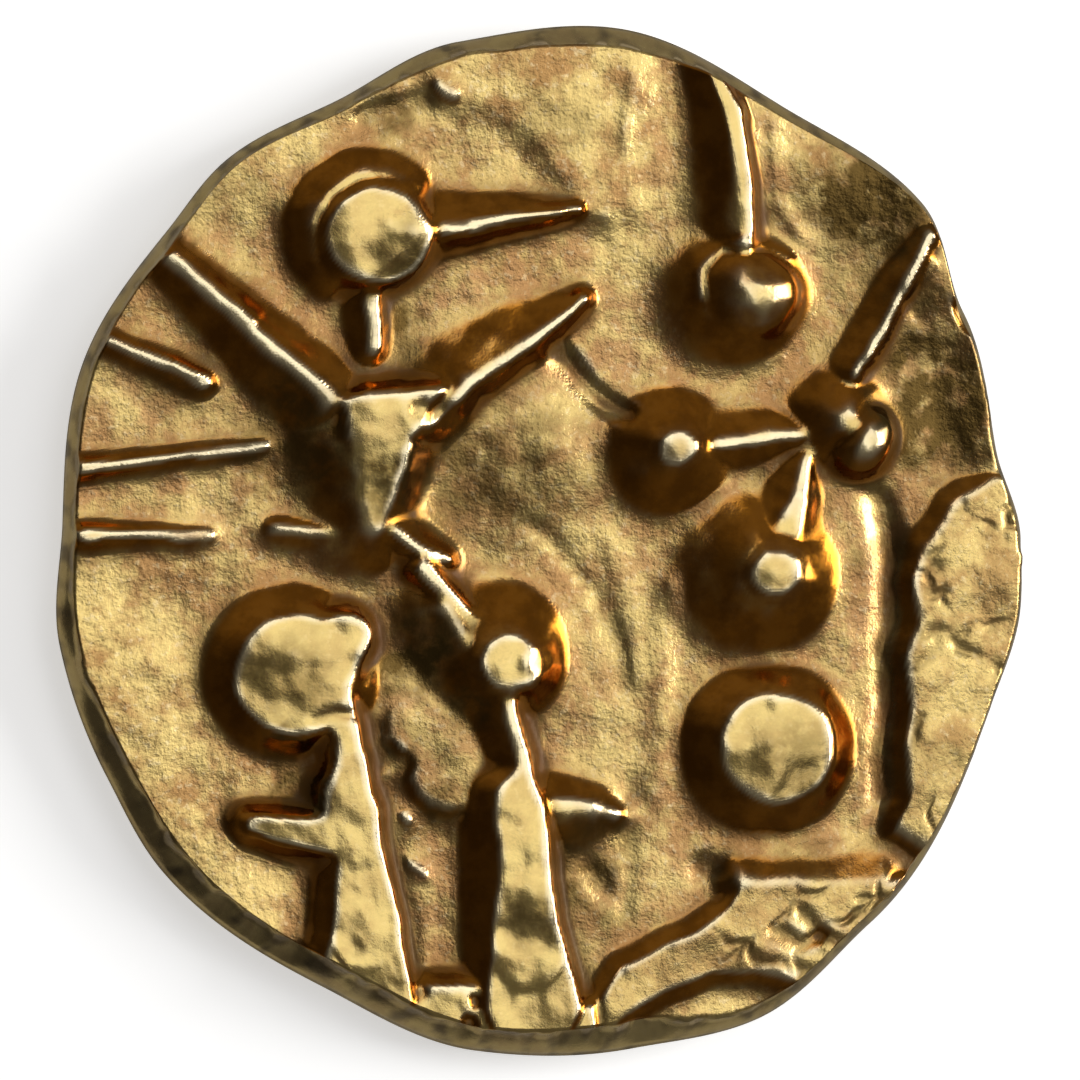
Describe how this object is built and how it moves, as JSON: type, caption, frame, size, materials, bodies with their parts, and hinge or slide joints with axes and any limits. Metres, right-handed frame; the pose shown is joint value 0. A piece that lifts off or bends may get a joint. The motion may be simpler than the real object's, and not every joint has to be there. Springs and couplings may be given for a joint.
{
  "type": "gold coin",
  "caption": "Small ancient struck gold coin with an uneven round edge, a bird-headed figure and pellets in high relief on the upper face, and a plain, gently domed underside.",
  "frame": {"origin": "middle of the coin's outline on the surface that it lies on", "axes": "+Z out of the figured side, +Y towards the head of the figure, +X to the right of the design"},
  "size_m": [0.0124, 0.0129, 0.0014],
  "materials": {
    "gold": "worn struck gold alloy, bright on the high points and brown in the hollows"
  },
  "bodies": {
    "root": {"coin": "gold"}
  },
  "joints": []
}
